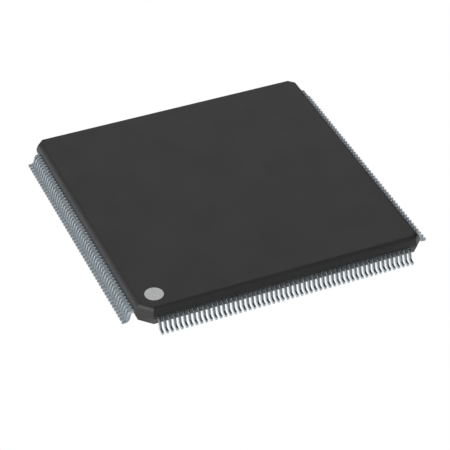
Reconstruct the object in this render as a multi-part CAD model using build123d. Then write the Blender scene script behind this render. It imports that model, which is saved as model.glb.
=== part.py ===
from build123d import *
import math
import os

# Microcontroller in a low-profile quad flat package: a moulded body with a row of
# gull-wing leads on each of its four sides. All sizes are in millimetres.
# The origin is the middle of the package on the seating plane, and +Z is up.
# Leads are counted anticlockwise from the dot: lead 1 is the first of the -Y row, at its -X end.

# Lead rows
leads_per_side = 54
lead_pitch = 0.40
lead_width = 0.19
lead_thickness = 0.25
leads_per_group = 6

# Gull-wing form of a lead outside the body
lead_reach = 1.00  # from the side of the body to the toe
shoulder_run = 0.15  # straight run before the shoulder bend
shoulder_inner_radius = 0.08
foot_inner_radius = 0.16
leg_angle = 75.0  # degrees between the leg and the board
outer_bend_corners = 2  # corners that stand for the outside of a bend
inner_bend_corners = 1  # corners that stand for the inside of a bend

# Fingers of the leads inside the body
finger_tip_pitch = 0.20
finger_tip_width = 0.12
finger_row_gap = 0.64  # from the last tip of a row to the line of the next row's tips
finger_to_pad_gap = 1.00

# Moulded body
corner_margin = 1.40  # from the middle of an end lead to the side of the body
standoff = 0.10  # air under the body
lower_mould_height = 0.73  # from the underside to the leads
upper_mould_height = 0.62  # from the leads to the top face
draft_angle = 17.5
corner_cut = 0.60
pin1_corner_cut = 1.05
top_edge_radius = 0.45
bottom_edge_radius = 0.22

# Dot that marks lead 1
dot_diameter = 1.48
dot_depth = 0.05
dot_inset = 1.82  # from the sides of the body to the middle of the dot

# Shallow round mark that the ejector pin leaves in the middle of the underside
ejector_mark_diameter = 3.00
ejector_mark_depth = 0.03

# Die, its glue film and its pad
die_width = 7.20
die_thickness = 0.28
attach_thickness = 0.025
attach_margin = 0.10
pad_downset = 0.20  # how far the pad lies below the leads
tie_bar_width = 0.30
tie_bar_slope = 30.0  # degrees of the joggle between pad and leads
tie_bar_start = 0.40  # from the corner of the pad to the joggle
tie_bar_cover = 0.25  # mould compound over the end of each bar

# Worked out from the sizes above
row_length = (leads_per_side - 1) * lead_pitch
body_half = row_length / 2 + corner_margin
lead_bottom = standoff + lower_mould_height
lead_top = lead_bottom + lead_thickness
body_top = lead_top + upper_mould_height
finger_row_half = (leads_per_side - 1) * finger_tip_pitch / 2 + finger_tip_width / 2
finger_reach = finger_row_half + finger_row_gap
pad_width = 2 * (finger_reach - finger_to_pad_gap)
pad_bottom = lead_bottom - pad_downset
pad_top = pad_bottom + lead_thickness
attach_top = pad_top + attach_thickness


def bend_corners(middle_y, middle_z, radius, first_angle, turn, count):
    """Corners of the straight-sided line that touches a bend of this radius from outside."""
    step = turn / count
    corner_radius = radius / math.cos(math.radians(step) / 2)
    angles = [math.radians(first_angle + step * (i + 0.5)) for i in range(count)]
    return [
        (middle_y + corner_radius * math.cos(a), middle_z + corner_radius * math.sin(a))
        for a in angles
    ]


def gull_wing_outline():
    """Side outline of a lead of the -Y row from the body to its toe, as (y, z) points."""
    root_y = -body_half
    toe_y = root_y - lead_reach
    shoulder_outer_radius = shoulder_inner_radius + lead_thickness
    foot_outer_radius = foot_inner_radius + lead_thickness
    shoulder_y = root_y - shoulder_run
    shoulder_z = lead_bottom - shoulder_inner_radius
    foot_z = lead_thickness + foot_inner_radius

    # The leg joins the two bends: its drop is what the bends leave of the whole height
    lean = math.radians(leg_angle)
    shoulder_mid_radius = shoulder_inner_radius + lead_thickness / 2
    foot_mid_radius = foot_inner_radius + lead_thickness / 2
    bend_drop = (shoulder_mid_radius + foot_mid_radius) * (1 - math.cos(lean))
    leg_out = (lead_bottom - bend_drop) / math.tan(lean)
    foot_y = shoulder_y - (shoulder_mid_radius + foot_mid_radius) * math.sin(lean) - leg_out

    shoulder_outside = bend_corners(
        shoulder_y, shoulder_z, shoulder_outer_radius, 90, leg_angle, outer_bend_corners
    )
    shoulder_inside = bend_corners(
        shoulder_y, shoulder_z, shoulder_inner_radius, 90, leg_angle, inner_bend_corners
    )
    foot_upper = bend_corners(
        foot_y, foot_z, foot_inner_radius, -90, leg_angle, inner_bend_corners
    )
    foot_lower = bend_corners(
        foot_y, foot_z, foot_outer_radius, -90, leg_angle, outer_bend_corners
    )
    top_line = [(root_y, lead_top)] + shoulder_outside + foot_upper[::-1] + [(toe_y, lead_thickness)]
    bottom_line = [(toe_y, 0)] + foot_lower + shoulder_inside[::-1] + [(root_y, lead_bottom)]
    return top_line + bottom_line


def row_places(pitch):
    """Middle of each lead of a row along its side, at this pitch."""
    return [(i - (leads_per_side - 1) / 2) * pitch for i in range(leads_per_side)]


def lead_finger(x, tip_x):
    """Flat finger of the lead at x of the -Y row, from the side of the body to its narrow tip."""
    corners = [
        (x - lead_width / 2, -body_half, lead_bottom),
        (x + lead_width / 2, -body_half, lead_bottom),
        (tip_x + finger_tip_width / 2, -finger_reach, lead_bottom),
        (tip_x - finger_tip_width / 2, -finger_reach, lead_bottom),
    ]
    return extrude(make_face(Polyline(*corners, close=True)), amount=lead_thickness, dir=(0, 0, 1))


def lead_outside(x):
    """Gull wing of the lead at x of the -Y row, outside the body."""
    corners = [(x, y, z) for y, z in gull_wing_outline()]
    return extrude(make_face(Polyline(*corners, close=True)), amount=lead_width / 2, both=True)


def four_sides(row):
    """A row of solids of the -Y side, followed by its turns onto the +X, +Y and -X sides."""
    return [Rot(0, 0, 90 * side) * piece for side in range(4) for piece in row]


def body_outline(z):
    """Square of the body at its widest, with cut corners, the cut next to lead 1 the largest."""
    h = body_half
    a = pin1_corner_cut
    c = corner_cut
    corners = [
        (-h + a, -h), (h - c, -h), (h, -h + c), (h, h - c),
        (h - c, h), (-h + c, h), (-h, h - c), (-h, -h + a),
    ]
    return Pos(0, 0, z) * make_face(Polyline(*corners, close=True))


def body_block():
    """Outside of the moulded body: two drafted halves on a straight band as thick as the leads."""
    upper = extrude(
        body_outline(lead_top), amount=upper_mould_height, dir=(0, 0, 1), taper=draft_angle
    )
    lower = extrude(
        body_outline(lead_bottom), amount=lower_mould_height, dir=(0, 0, -1), taper=draft_angle
    )
    band = extrude(body_outline(lead_bottom), amount=lead_thickness, dir=(0, 0, 1))
    block = upper + band + lower
    block = fillet(block.edges().group_by(Axis.Z)[-1], top_edge_radius)
    return fillet(block.edges().group_by(Axis.Z)[0], bottom_edge_radius)


def tie_bar():
    """Bar from the corner of the pad along +X, up a joggle to the leads and out to the body's corner."""
    pad_corner = pad_width / math.sqrt(2)
    body_corner = (2 * body_half - max(pin1_corner_cut, corner_cut)) / math.sqrt(2)
    slope = math.radians(tie_bar_slope)
    joggle_in = pad_corner + tie_bar_start
    joggle_out = joggle_in + pad_downset / math.tan(slope)
    underside = [
        (pad_corner - tie_bar_width, pad_bottom),
        (joggle_in, pad_bottom),
        (joggle_out, lead_bottom),
        (body_corner - tie_bar_cover, lead_bottom),
    ]
    # The upper line keeps the bar's thickness square to the joggle
    shift = lead_thickness * math.tan(slope / 2)
    upper_side = [
        underside[3],
        (joggle_out - shift, lead_bottom),
        (joggle_in - shift, pad_bottom),
        underside[0],
    ]
    corners = [(s, 0, z) for s, z in underside]
    corners += [(s, 0, z + lead_thickness) for s, z in upper_side]
    return extrude(make_face(Polyline(*corners, close=True)), amount=tie_bar_width / 2, both=True)


def die_pad():
    """Square pad under the die, carried by a tie bar at each corner."""
    plate = extrude(Pos(0, 0, pad_bottom) * Rectangle(pad_width, pad_width), amount=lead_thickness)
    for side in range(4):
        plate += Rot(0, 0, 45 + 90 * side) * tie_bar()
    return plate


def flat_square(width, bottom, height):
    """Square plate about the middle of the package."""
    return extrude(Pos(0, 0, bottom) * Rectangle(width, width), amount=height)


def dot():
    """Round dot of marking ink, flush with the top face."""
    place = -body_half + dot_inset
    disc = Pos(place, place, body_top - dot_depth) * Circle(dot_diameter / 2)
    return extrude(disc, amount=dot_depth)


def ejector_mark():
    """Shallow round hollow in the middle of the underside."""
    return extrude(Pos(0, 0, standoff) * Circle(ejector_mark_diameter / 2), amount=ejector_mark_depth)


def save(node, shape):
    """One STEP file for one node."""
    export_step(shape, f"parts/{node}.step")


os.makedirs("parts", exist_ok=True)

lead_places = row_places(lead_pitch)
row_fingers = [lead_finger(x, tip_x) for x, tip_x in zip(lead_places, row_places(finger_tip_pitch))]
row_leads = [lead_outside(x) + finger for x, finger in zip(lead_places, row_fingers)]
leads = four_sides(row_leads)

pad = die_pad()
attach = flat_square(die_width + 2 * attach_margin, pad_top, attach_thickness)
die = flat_square(die_width, attach_top, die_thickness)
ink_dot = dot()

hollows = four_sides(row_fingers) + [pad, attach, die, ink_dot, ejector_mark()]
body = body_block() - hollows

save("mould_body", body)
save("die_pad", pad)
save("die_attach", attach)
save("silicon_die", die)
save("pin1_dot", ink_dot)

for first in range(0, len(leads), leads_per_group):
    group = leads[first:first + leads_per_group]
    last = first + len(group)
    save(f"leads_{first + 1:03d}_to_{last:03d}", Compound(children=group))
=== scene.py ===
"""Looks of a microcontroller in a quad flat package.

Bends and plates its leads, finishes its body, dot and inner pieces, and sets up a studio.
"""

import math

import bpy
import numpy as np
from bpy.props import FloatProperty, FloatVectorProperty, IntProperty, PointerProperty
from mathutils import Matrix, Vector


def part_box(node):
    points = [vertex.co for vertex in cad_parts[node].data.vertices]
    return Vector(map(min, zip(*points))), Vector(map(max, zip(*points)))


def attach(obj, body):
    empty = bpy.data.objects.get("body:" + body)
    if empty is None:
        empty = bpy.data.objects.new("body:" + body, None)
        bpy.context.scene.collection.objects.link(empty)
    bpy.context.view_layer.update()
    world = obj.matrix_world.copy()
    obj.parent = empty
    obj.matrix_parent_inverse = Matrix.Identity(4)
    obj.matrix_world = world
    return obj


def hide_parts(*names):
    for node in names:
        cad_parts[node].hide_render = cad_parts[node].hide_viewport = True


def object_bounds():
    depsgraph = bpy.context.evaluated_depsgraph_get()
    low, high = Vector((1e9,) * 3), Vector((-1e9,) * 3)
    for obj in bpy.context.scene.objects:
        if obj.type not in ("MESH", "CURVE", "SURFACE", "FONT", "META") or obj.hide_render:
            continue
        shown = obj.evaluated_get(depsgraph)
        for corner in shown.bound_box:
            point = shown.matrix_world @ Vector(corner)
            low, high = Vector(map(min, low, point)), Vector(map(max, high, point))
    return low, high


bl_info = {
    "name": "Quad Flat Package Microcontroller",
    "version": (1, 0, 0),
    "blender": (4, 5, 0),
    "location": "View3D > Sidebar > Microcontroller",
    "description": "Bends the leads, finishes every surface of the package and lights it",
    "category": "Object",
}

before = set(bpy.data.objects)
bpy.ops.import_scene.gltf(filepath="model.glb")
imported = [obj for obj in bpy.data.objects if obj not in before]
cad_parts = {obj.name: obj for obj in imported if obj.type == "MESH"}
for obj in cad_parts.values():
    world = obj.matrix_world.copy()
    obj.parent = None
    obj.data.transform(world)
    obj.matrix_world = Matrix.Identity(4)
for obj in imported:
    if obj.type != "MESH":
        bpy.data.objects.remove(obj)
cad_low, cad_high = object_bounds()

MM = 0.001

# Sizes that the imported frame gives
body_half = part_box("mould_body")[1].y  # from the middle of the package to the body's side
lead_reach = cad_high.y - body_half  # from there to the toe of a lead
finger_reach = -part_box("leads_025_to_030")[1].y  # from the middle to the tips of the fingers
lead_nodes = sorted(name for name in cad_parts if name.startswith("leads_"))

# Where the floor's painted glow starts to change from one zone to the next, and where it has
# changed.
# Both are counted from the middle of the package, in shares of half the body's width.
FEET_BORDER = (0.95, 0.99)
FLOOR_BORDER = (1.10, 1.14)
SIDE_BORDER = (1.08, 1.12)


def length(name, description, default):
    """A size in metres that the sidebar shows."""
    return FloatProperty(
        name=name, description=description, default=default, min=0.0, unit="LENGTH", precision=6
    )


def share(name, description, default):
    """A value between nought and one."""
    return FloatProperty(
        name=name, description=description, default=default, min=0.0, max=1.0, subtype="FACTOR"
    )


def brightness(name, description, default):
    """Light that a surface gives off, one being as bright as the backdrop."""
    return FloatProperty(name=name, description=description, default=default, min=0.0)


def colour(name, description, default):
    """A linear colour."""
    return FloatVectorProperty(
        name=name, description=description, default=default, min=0.0, max=1.0, size=3,
        subtype="COLOR",
    )


class LeadSettings(bpy.types.PropertyGroup):
    """Sizes and finish of the gull-wing leads."""

    per_side: IntProperty(name="Leads per side", description="Leads in one row", default=54, min=1)
    pitch: length("Pitch", "Between the middles of two leads of a row", 0.40 * MM)
    width: length("Width", "Across a lead", 0.19 * MM)
    thickness: length("Thickness", "Of the plated strip", 0.25 * MM)
    level: length(
        "Level", "From the board to the middle of a lead where it leaves the body", 0.955 * MM
    )
    shoulder_run: length("Shoulder run", "Straight run before the shoulder bend", 0.15 * MM)
    shoulder_radius: length("Shoulder radius", "Inner radius of the shoulder bend", 0.08 * MM)
    foot_radius: length("Foot radius", "Inner radius of the bend above the foot", 0.16 * MM)
    leg_angle: FloatProperty(
        name="Leg angle", description="Between the leg and the board",
        default=math.radians(75.0), subtype="ANGLE",
    )
    bend_steps: IntProperty(
        name="Bend steps", description="Faces round each bend", default=3, min=1
    )
    edge_radius: length("Edge radius", "Rounding of the stamped edges", 0.022 * MM)
    tip_pitch: length("Tip pitch", "Between the tips of two fingers inside the body", 0.20 * MM)
    tip_width: length("Tip width", "Across the tip of a finger", 0.12 * MM)
    tin_light: colour("Light tin", "Bright patches of the matt tin", (0.49, 0.545, 0.58))
    tin_dark: colour("Dark tin", "Dull patches of the matt tin", (0.43, 0.485, 0.52))
    roughness_low: share("Least roughness", "Roughness of the smoothest tin", 0.28)
    roughness_high: share("Most roughness", "Roughness of the dullest tin", 0.38)
    grain: length("Grain", "Size of the tin grains", 0.03 * MM)
    grain_depth: length("Grain depth", "Depth of the tin grains", 0.0009 * MM)
    patch: length("Patch", "Size of the bright and dull patches", 0.24 * MM)


class MouldSettings(bpy.types.PropertyGroup):
    """Finish of the moulded body."""

    dark: colour("Compound", "Colour of the black mould compound", (0.020, 0.020, 0.020))
    pale: colour("Filler", "Colour where the silica filler shows", (0.027, 0.027, 0.027))
    roughness_low: share("Least roughness", "Roughness of the polished patches", 0.45)
    roughness_high: share("Most roughness", "Roughness of the matt patches", 0.50)
    specular: share("Specular level", "Strength of the gloss", 0.50)
    grain: length("Grain", "Size of the spark-eroded texture", 0.05 * MM)
    grain_depth: length("Grain depth", "Depth of the spark-eroded texture", 0.0025 * MM)
    mottle: length("Mottle", "Size of the faint cloudy patches", 2.5 * MM)


class DotSettings(bpy.types.PropertyGroup):
    """Finish of the ink dot."""

    light: colour("Light ink", "Colour of the thick ink", (0.63, 0.64, 0.635))
    dark: colour("Thin ink", "Colour where the compound shows through", (0.50, 0.51, 0.505))
    roughness: share("Roughness", "Roughness of the ink", 0.55)
    grain: length("Grain", "Size of the specks in the ink", 0.11 * MM)
    grain_depth: length("Grain depth", "Depth of the specks in the ink", 0.0011 * MM)


class InnerSettings(bpy.types.PropertyGroup):
    """Finish of the die, its glue and its pad."""

    silicon: colour("Silicon", "Colour of the die", (0.11, 0.13, 0.17))
    circuit: colour("Circuit", "Colour of the denser blocks of the circuit", (0.20, 0.17, 0.22))
    block: length("Block", "Size of a block of the circuit", 0.9 * MM)
    block_start: share("Block start", "Distance in a block where its tint starts to change", 0.1)
    block_end: share("Block end", "Distance in a block where its tint has changed", 0.6)
    die_metallic: share("Die metallic", "How far the die shines as a metal does", 0.7)
    die_roughness: share("Die roughness", "Roughness of the polished die", 0.18)
    copper: colour("Copper", "Colour of the pad", (0.72, 0.42, 0.27))
    copper_dull: colour("Dull copper", "Colour of the tarnished patches", (0.52, 0.28, 0.17))
    copper_low: share("Least copper roughness", "Roughness of the smoothest copper", 0.28)
    copper_high: share("Most copper roughness", "Roughness of the dullest copper", 0.45)
    patch: length("Patch", "Size of the tarnished patches", 1.2 * MM)
    glue: colour("Glue", "Colour of the silver-filled glue", (0.50, 0.50, 0.51))
    glue_dark: colour("Glue resin", "Colour of the resin between the flakes", (0.34, 0.34, 0.34))
    glue_metallic: share("Glue metallic", "How far the glue shines as a metal does", 0.5)
    flake_roughness: share("Flake roughness", "Roughness of the silver flakes", 0.4)
    resin_roughness: share("Resin roughness", "Roughness of the resin between them", 0.6)
    grain: length("Grain", "Size of the grains of metal", 0.06 * MM)


def light_settings(name, strength, azimuth, elevation, softness):
    """Strength of a light, its place round the package and over it, and the angle it fills."""
    return FloatVectorProperty(
        name=name, description="Strength, then azimuth, elevation and softness in degrees",
        default=(strength, azimuth, elevation, softness), size=4,
    )


class StageSettings(bpy.types.PropertyGroup):
    """Camera, floor and lights."""

    azimuth: FloatProperty(
        name="Azimuth", description="Camera's place round the package, nought in front",
        default=math.radians(-24.4015), subtype="ANGLE",
    )
    elevation: FloatProperty(
        name="Elevation", description="Camera's height over the board",
        default=math.radians(38.7711), subtype="ANGLE",
    )
    roll: FloatProperty(
        name="Roll", description="Camera's turn about its own axis",
        default=math.radians(1.0972), subtype="ANGLE",
    )
    distance: length("Distance", "From the camera to the package", 159.7695 * MM)
    right: FloatProperty(
        name="Right", description="Camera's shift to its right", default=0.1671 * MM, unit="LENGTH"
    )
    up: FloatProperty(
        name="Up", description="Camera's shift upwards", default=-1.8039 * MM, unit="LENGTH"
    )
    lens: FloatProperty(name="Lens", description="Focal length in millimetres", default=156.688)
    clip_start: length("Clip start", "Nearest distance that the camera shows", 10 * MM)
    floor: length("Floor", "Width of the floor", 4.0)
    # The floor's glow is painted light: the floor is no lamp, yet it gives off light that differs
    # by zone. Under the body it is lower, a painted shadow of the body. Past the +X and -X sides it
    # is higher, a painted pool of light on those sides. Past the +Y and -Y rows it is lower,
    # painted shade in front of them.
    under_body_painted_shadow: brightness("Under glow", "What the floor throws back under the body", 0.55)
    feet_painted_light: brightness("Feet glow", "What the floor throws back under the +Y and -Y rows", 1.00)
    side_painted_light: brightness("Side glow", "What the floor throws back past the +X and -X sides", 1.10)
    past_rows_painted_shade: brightness("Floor glow", "What the floor throws back past the +Y and -Y rows", 0.32)
    key: light_settings("Key", 1.6, -90.0, 45.0, 40.0)
    fill: light_settings("Fill", 1.7, -35.0, 30.0, 60.0)
    rim: light_settings("Rim", 0.32, 155.0, 36.0, 40.0)
    back: light_settings("Back", 0.28, -137.0, 22.0, 60.0)


GROUPS = {
    "package_leads": LeadSettings,
    "package_mould": MouldSettings,
    "package_dot": DotSettings,
    "package_inner": InnerSettings,
    "package_stage": StageSettings,
}


# Materials

def start_material(name):
    """An empty node material with its shader, and object coordinates to read."""
    material = bpy.data.materials.new(name)
    material.use_nodes = True
    tree = material.node_tree
    shader = tree.nodes["Principled BSDF"]
    place = tree.nodes.new("ShaderNodeTexCoord")
    return material, tree, shader, place.outputs["Object"]


def noise(tree, place, size, detail=3.0):
    """Noise whose lumps are about this size, read at object coordinates."""
    texture = tree.nodes.new("ShaderNodeTexNoise")
    texture.inputs["Scale"].default_value = 1.0 / size
    texture.inputs["Detail"].default_value = detail
    tree.links.new(place, texture.inputs["Vector"])
    return texture.outputs["Fac"]


def blend_colours(tree, fac, low, high, start=0.35, end=0.65):
    """Goes from one colour to the other as the factor goes from start to end."""
    ramp = tree.nodes.new("ShaderNodeValToRGB")
    ramp.color_ramp.elements[0].position = start
    ramp.color_ramp.elements[1].position = end
    ramp.color_ramp.elements[0].color = (*low, 1.0)
    ramp.color_ramp.elements[1].color = (*high, 1.0)
    tree.links.new(fac, ramp.inputs["Fac"])
    return ramp.outputs["Color"]


def blend_values(tree, fac, low, high, start=0.3, end=0.7):
    """Goes from one value or output to the other as the factor goes from start to end."""
    node = tree.nodes.new("ShaderNodeMapRange")
    node.inputs["From Min"].default_value = start
    node.inputs["From Max"].default_value = end
    for name, value in (("To Min", low), ("To Max", high)):
        if isinstance(value, bpy.types.NodeSocket):
            tree.links.new(value, node.inputs[name])
        else:
            node.inputs[name].default_value = value
    tree.links.new(fac, node.inputs["Value"])
    return node.outputs["Result"]


def absolute(tree, value):
    """A value without its sign."""
    node = tree.nodes.new("ShaderNodeMath")
    node.operation = "ABSOLUTE"
    tree.links.new(value, node.inputs[0])
    return node.outputs["Value"]


def add_bump(tree, shader, height, depth):
    """Lets a height between nought and one stand this deep in the surface."""
    bump = tree.nodes.new("ShaderNodeBump")
    bump.inputs["Distance"].default_value = depth
    bump.inputs["Strength"].default_value = 1.0
    tree.links.new(height, bump.inputs["Height"])
    tree.links.new(bump.outputs["Normal"], shader.inputs["Normal"])


def mould_compound(look):
    """Black epoxy with silica filler: matt, with a fine eroded grain and faint cloudy patches."""
    material, tree, shader, place = start_material("mould_compound")
    grain = noise(tree, place, look.grain)
    mottle = noise(tree, place, look.mottle, detail=2.0)
    colours = blend_colours(tree, grain, look.dark, look.pale)
    roughness = blend_values(tree, mottle, look.roughness_low, look.roughness_high)
    tree.links.new(colours, shader.inputs["Base Color"])
    tree.links.new(roughness, shader.inputs["Roughness"])
    shader.inputs["Specular IOR Level"].default_value = look.specular
    add_bump(tree, shader, grain, look.grain_depth)
    return material


def matt_tin(look):
    """Plated tin: blue-grey metal with a fine grain and bright and dull patches."""
    material, tree, shader, place = start_material("matt_tin")
    grain = noise(tree, place, look.grain)
    patches = noise(tree, place, look.patch, detail=2.0)
    colours = blend_colours(tree, patches, look.tin_dark, look.tin_light)
    roughness = blend_values(tree, grain, look.roughness_low, look.roughness_high)
    tree.links.new(colours, shader.inputs["Base Color"])
    tree.links.new(roughness, shader.inputs["Roughness"])
    shader.inputs["Metallic"].default_value = 1.0
    add_bump(tree, shader, grain, look.grain_depth)
    return material


def marking_ink(look):
    """Light grey ink that lets specks of the compound show faintly."""
    material, tree, shader, place = start_material("marking_ink")
    specks = noise(tree, place, look.grain)
    colours = blend_colours(tree, specks, look.dark, look.light)
    tree.links.new(colours, shader.inputs["Base Color"])
    shader.inputs["Roughness"].default_value = look.roughness
    add_bump(tree, shader, specks, look.grain_depth)
    return material


def patterned_silicon(look):
    """Polished die whose circuit shows as blocks of two tints."""
    material, tree, shader, place = start_material("patterned_silicon")
    blocks = tree.nodes.new("ShaderNodeTexVoronoi")
    blocks.distance = "CHEBYCHEV"
    blocks.inputs["Scale"].default_value = 1.0 / look.block
    tree.links.new(place, blocks.inputs["Vector"])
    distance = blocks.outputs["Distance"]
    colours = blend_colours(
        tree, distance, look.circuit, look.silicon, look.block_start, look.block_end
    )
    tree.links.new(colours, shader.inputs["Base Color"])
    shader.inputs["Metallic"].default_value = look.die_metallic
    shader.inputs["Roughness"].default_value = look.die_roughness
    return material


def pad_copper(look):
    """Rolled copper with duller patches."""
    material, tree, shader, place = start_material("pad_copper")
    patches = noise(tree, place, look.patch)
    grain = noise(tree, place, look.grain)
    colours = blend_colours(tree, patches, look.copper_dull, look.copper)
    roughness = blend_values(tree, grain, look.copper_low, look.copper_high)
    tree.links.new(colours, shader.inputs["Base Color"])
    tree.links.new(roughness, shader.inputs["Roughness"])
    shader.inputs["Metallic"].default_value = 1.0
    return material


def die_glue(look):
    """Resin full of silver flakes."""
    material, tree, shader, place = start_material("die_glue")
    flakes = noise(tree, place, look.grain)
    colours = blend_colours(tree, flakes, look.glue_dark, look.glue)
    roughness = blend_values(tree, flakes, look.resin_roughness, look.flake_roughness)
    tree.links.new(colours, shader.inputs["Base Color"])
    tree.links.new(roughness, shader.inputs["Roughness"])
    shader.inputs["Metallic"].default_value = look.glue_metallic
    return material


def finish_node(name, material):
    """Gives a carried-over piece its material."""
    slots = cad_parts[name].data.materials
    slots.clear()
    slots.append(material)


# Leads

def lead_line(look):
    """Middle line of a lead of the -Y row from the tip of its finger to its toe.

    Returns the y and z of each station, the direction square to the strip there, and how far
    the station is from the tip towards the side of the body, from nought to one.
    The line is straight to the shoulder, turns down by the leg angle on an arc, runs down the
    leg, turns back on the arc of the foot and ends straight along the board.
    """
    half = look.thickness / 2
    shoulder = look.shoulder_radius + half
    foot = look.foot_radius + half
    turn = look.leg_angle
    steps = np.linspace(0.0, turn, look.bend_steps + 1)

    shoulder_y = -body_half - look.shoulder_run
    drop = (shoulder + foot) * (1 - math.cos(turn))
    leg_out = (look.level - half - drop) / math.tan(turn)
    foot_y = shoulder_y - (shoulder + foot) * math.sin(turn) - leg_out
    toe_y = -body_half - lead_reach

    y = np.concatenate([
        [-finger_reach, -body_half],
        shoulder_y - shoulder * np.sin(steps),
        foot_y + foot * np.sin(steps[::-1]),
        [toe_y + look.edge_radius, toe_y],
    ])
    z = np.concatenate([
        [look.level, look.level],
        look.level - shoulder * (1 - np.cos(steps)),
        half + foot * (1 - np.cos(steps[::-1])),
        [half, half],
    ])
    angle = np.concatenate([[0.0, 0.0], steps, steps[::-1], [0.0, 0.0]])
    square = np.stack([-np.sin(angle), np.cos(angle)], axis=1)
    out = np.clip((-finger_reach - y) / (body_half - finger_reach), 0.0, 1.0)
    return y, z, square, out


def lead_surface(look, numbers):
    """Points, quads, end faces and normals of these leads of the -Y row, as whole arrays.

    A section with eight corners, a rectangle with cut edges, is carried along the middle line.
    Inside the body its middle and its width go in a straight line from those of the tip to
    those of the lead. At the toe the section shrinks by the edge radius.
    The normals are those of the flat sides, so that the cut edges shade as round ones.
    """
    y, z, square, out = lead_line(look)
    stations = len(y)
    middle = (numbers - (look.per_side - 1) / 2)[:, None]
    centre = middle * (look.tip_pitch + (look.pitch - look.tip_pitch) * out)
    half_width = (look.tip_width + (look.width - look.tip_width) * out) / 2
    half_thickness = np.full(stations, look.thickness / 2)
    half_width[-1] -= look.edge_radius
    half_thickness[-1] -= look.edge_radius

    # Corners run round the section, two to each side: right, upper, left and lower side
    edge = look.edge_radius
    side_x = np.array([1, 1, 0, 0, -1, -1, 0, 0])
    side_up = np.array([0, 0, 1, 1, 0, 0, -1, -1])
    lean_x = np.array([1, 1, 1, -1, -1, -1, -1, 1])
    lean_up = np.array([-1, 1, 1, 1, 1, -1, -1, -1])
    across = lean_x * (half_width[:, None] - edge * (side_x == 0))
    upward = lean_up * (half_thickness[:, None] - edge * (side_up == 0))

    shape = (len(numbers), stations, len(side_x))
    points = np.empty((*shape, 3))
    points[..., 0] = centre[:, :, None] + across
    points[..., 1] = y[:, None] + upward * square[:, :1]
    points[..., 2] = z[:, None] + upward * square[:, 1:]

    normals = np.empty((*shape, 3))
    normals[..., 0] = side_x
    normals[..., 1] = side_up * square[:, :1]
    normals[..., 2] = side_up * square[:, 1:]

    index = np.arange(points[..., 0].size).reshape(shape)
    following = np.roll(index, -1, axis=2)
    quads = np.stack([index[:, :-1], following[:, :-1], following[:, 1:], index[:, 1:]], axis=-1)
    ends = np.concatenate([index[:, 0, ::-1], index[:, -1]])
    end_normals = np.repeat([[0.0, 1.0, 0.0], [0.0, -1.0, 0.0]], len(numbers), axis=0)
    return points.reshape(-1, 3), quads.reshape(-1, 4), ends, normals.reshape(-1, 3), end_normals


def turned(vectors, quarter_turns):
    """Vectors turned about +Z by whole quarter turns."""
    x, y, z = vectors.T
    for _ in range(quarter_turns):
        x, y = -y, x
    return np.stack([x, y, z], axis=1)


def smooth_mesh(name, points, quads, ends, normals, end_normals):
    """A mesh with a stated normal at each corner of each face."""
    mesh = bpy.data.meshes.new(name)
    mesh.from_pydata(points.tolist(), [], quads.tolist() + ends.tolist())
    mesh.shade_smooth()
    corner_normals = np.concatenate([
        normals[quads].reshape(-1, 3),
        np.repeat(end_normals, ends.shape[1], axis=0),
    ])
    mesh.normals_split_custom_set(corner_normals)
    return mesh


def add_piece(name, mesh, material):
    """A piece of the package that rides on its one body."""
    mesh.materials.append(material)
    piece = bpy.data.objects.new(name, mesh)
    bpy.context.scene.collection.objects.link(piece)
    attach(piece, "root")
    return piece


class PACKAGE_OT_leads(bpy.types.Operator):
    """Bend the leads of all four rows and plate them with matt tin"""

    bl_idname = "package.leads"
    bl_label = "Leads"

    def execute(self, context):
        look = context.scene.package_leads
        material = matt_tin(look)
        for node in lead_nodes:
            # A node is named by its first and last lead, and all its leads are on one side
            first, last = (int(word) for word in node.split("_")[1::2])
            numbers = np.arange(first - 1, last)
            side = numbers[0] // look.per_side
            points, quads, ends, normals, end_normals = lead_surface(look, numbers % look.per_side)
            points = turned(points, side)
            normals = turned(normals, side)
            end_normals = turned(end_normals, side)
            mesh = smooth_mesh(f"bent_{node}", points, quads, ends, normals, end_normals)
            piece = add_piece(f"bent_{node}", mesh, material)
            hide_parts(node)
        return {"FINISHED"}


class PACKAGE_OT_mould(bpy.types.Operator):
    """Give the moulded body its compound"""

    bl_idname = "package.mould"
    bl_label = "Mould body"

    def execute(self, context):
        finish_node("mould_body", mould_compound(context.scene.package_mould))
        return {"FINISHED"}


class PACKAGE_OT_dot(bpy.types.Operator):
    """Give the dot at lead 1 its ink"""

    bl_idname = "package.dot"
    bl_label = "Dot"

    def execute(self, context):
        finish_node("pin1_dot", marking_ink(context.scene.package_dot))
        return {"FINISHED"}


class PACKAGE_OT_inner(bpy.types.Operator):
    """Finish the die, its glue and its pad inside the body"""

    bl_idname = "package.inner"
    bl_label = "Inner pieces"

    def execute(self, context):
        look = context.scene.package_inner
        finish_node("silicon_die", patterned_silicon(look))
        finish_node("die_attach", die_glue(look))
        finish_node("die_pad", pad_copper(look))
        return {"FINISHED"}


# Stage

def floor_zone(tree, distance, inner, outer, border):
    """Goes from the inner zone's glow to the outer one's where the floor crosses the border."""
    start, end = border
    return blend_values(tree, distance, inner, outer, start * body_half, end * body_half)


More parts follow.
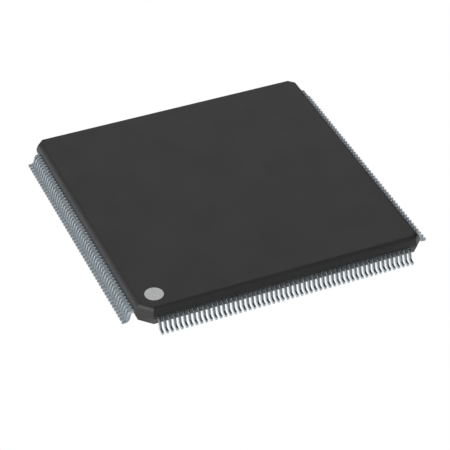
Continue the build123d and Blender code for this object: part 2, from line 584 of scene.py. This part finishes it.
def white_floor_painted_glow(stage):
    """Plain white to the camera, and clear from below.

    The light it gives off at the package is painted light, differing from zone to zone: under the
    body, under the rows of the +Y and -Y sides, past these rows, and past the +X and -X sides. The
    dim zone under the body is a painted shadow of the body, the dim zone past the rows is painted
    shade, and the bright zone past the sides is a painted pool of light.
    """
    material, tree, shader, place = start_material("white_floor_painted_glow")
    tree.nodes.remove(shader)
    light = tree.nodes.new("ShaderNodeEmission")
    clear = tree.nodes.new("ShaderNodeBsdfTransparent")
    ray = tree.nodes.new("ShaderNodeLightPath")
    face = tree.nodes.new("ShaderNodeNewGeometry")
    split = tree.nodes.new("ShaderNodeSeparateXYZ")
    mix = tree.nodes.new("ShaderNodeMixShader")
    tree.links.new(place, split.inputs["Vector"])
    sideways = absolute(tree, split.outputs["X"])
    endways = absolute(tree, split.outputs["Y"])
    # Painted light: the glow drops under the body as a painted shadow of the body, drops past the
    # +Y and -Y rows as painted shade, and rises past the +X and -X sides as a painted pool of
    # light.
    glow = floor_zone(tree, endways, stage.under_body_painted_shadow, stage.feet_painted_light, FEET_BORDER)
    glow = floor_zone(tree, endways, glow, stage.past_rows_painted_shade, FLOOR_BORDER)
    glow = floor_zone(tree, sideways, glow, stage.side_painted_light, SIDE_BORDER)
    camera_ray = ray.outputs["Is Camera Ray"]
    strength = blend_values(tree, camera_ray, glow, 1.0, start=0.0, end=1.0)
    tree.links.new(strength, light.inputs["Strength"])
    # The two shader inputs of the mix share one name, so they are linked by number
    tree.links.new(face.outputs["Backfacing"], mix.inputs["Fac"])
    tree.links.new(light.outputs["Emission"], mix.inputs[1])
    tree.links.new(clear.outputs["BSDF"], mix.inputs[2])
    tree.links.new(mix.outputs["Shader"], tree.nodes["Material Output"].inputs["Surface"])
    return material


def white_world():
    """White backdrop for the camera that sheds no light on the package."""
    world = bpy.data.worlds.new("studio")
    world.use_nodes = True
    tree = world.node_tree
    background = tree.nodes["Background"]
    ray = tree.nodes.new("ShaderNodeLightPath")
    camera_ray = ray.outputs["Is Camera Ray"]
    strength = blend_values(tree, camera_ray, 0.0, 1.0, start=0.0, end=1.0)
    background.inputs["Color"].default_value = (1.0, 1.0, 1.0, 1.0)
    tree.links.new(strength, background.inputs["Strength"])
    return world


def towards(azimuth, elevation):
    """Unit vector from the package to a place round it, nought azimuth being on the -Y side."""
    flat = math.cos(elevation)
    return Vector((math.sin(azimuth) * flat, -math.cos(azimuth) * flat, math.sin(elevation)))


def place_camera(stage):
    """Camera on its line of sight, turned by its roll and shifted in its own plane."""
    back = towards(stage.azimuth, stage.elevation)
    level_right = Vector((math.cos(stage.azimuth), math.sin(stage.azimuth), 0.0))
    level_up = back.cross(level_right)
    right = math.cos(stage.roll) * level_right + math.sin(stage.roll) * level_up
    up = back.cross(right)
    data = bpy.data.cameras.new("camera")
    data.lens = stage.lens
    data.clip_start = stage.clip_start
    camera = bpy.data.objects.new("camera", data)
    bpy.context.scene.collection.objects.link(camera)
    turn = Matrix((right, up, back)).transposed().to_4x4()
    spot = back * stage.distance + right * stage.right + up * stage.up
    camera.matrix_world = Matrix.Translation(spot) @ turn
    bpy.context.scene.camera = camera


def place_sun(name, settings):
    """A far light of this strength, place and softness."""
    strength, azimuth, elevation, softness = settings
    data = bpy.data.lights.new(name, "SUN")
    data.energy = strength
    data.angle = math.radians(softness)
    light = bpy.data.objects.new(name, data)
    bpy.context.scene.collection.objects.link(light)
    light.rotation_mode = "QUATERNION"
    light.rotation_quaternion = (
        towards(math.radians(azimuth), math.radians(elevation)).to_track_quat("Z", "Y")
    )


class PACKAGE_OT_stage(bpy.types.Operator):
    """Set the white floor, the backdrop, the lights and the camera"""

    bl_idname = "package.stage"
    bl_label = "Stage"

    def execute(self, context):
        stage = context.scene.package_stage
        half = stage.floor / 2
        mesh = bpy.data.meshes.new("floor")
        corners = [(-half, -half, 0.0), (half, -half, 0.0), (half, half, 0.0), (-half, half, 0.0)]
        mesh.from_pydata(corners, [], [(0, 1, 2, 3)])
        mesh.materials.append(white_floor_painted_glow(stage))
        floor = bpy.data.objects.new("floor", mesh)
        context.scene.collection.objects.link(floor)
        context.scene.world = white_world()
        for name in ("key", "fill", "rim", "back"):
            place_sun(name, getattr(stage, name))
        place_camera(stage)
        context.scene.view_settings.view_transform = "Standard"
        return {"FINISHED"}


class PACKAGE_PT_sidebar(bpy.types.Panel):
    """Sizes and colours of the package, with a button for each group of pieces"""

    bl_idname = "PACKAGE_PT_sidebar"
    bl_label = "Microcontroller"
    bl_space_type = "VIEW_3D"
    bl_region_type = "UI"
    bl_category = "Microcontroller"

    def draw(self, context):
        for operator, group in (
            ("package.leads", "package_leads"),
            ("package.mould", "package_mould"),
            ("package.dot", "package_dot"),
            ("package.inner", "package_inner"),
            ("package.stage", "package_stage"),
        ):
            box = self.layout.box()
            box.operator(operator)
            for name in GROUPS[group].__annotations__:
                box.prop(getattr(context.scene, group), name)


CLASSES = (
    *GROUPS.values(),
    PACKAGE_OT_leads,
    PACKAGE_OT_mould,
    PACKAGE_OT_dot,
    PACKAGE_OT_inner,
    PACKAGE_OT_stage,
    PACKAGE_PT_sidebar,
)


def register():
    """Adds the classes, and the settings to the scene."""
    for cls in CLASSES:
        bpy.utils.register_class(cls)
    for name, group in GROUPS.items():
        setattr(bpy.types.Scene, name, PointerProperty(type=group))


def unregister():
    """Takes the settings and the classes away."""
    for name in GROUPS:
        delattr(bpy.types.Scene, name)
    for cls in reversed(CLASSES):
        bpy.utils.unregister_class(cls)


def main():
    """Runs every operator in order."""
    register()
    bpy.ops.package.leads()
    bpy.ops.package.mould()
    bpy.ops.package.dot()
    bpy.ops.package.inner()
    bpy.ops.package.stage()


if __name__ == "__main__":
    main()
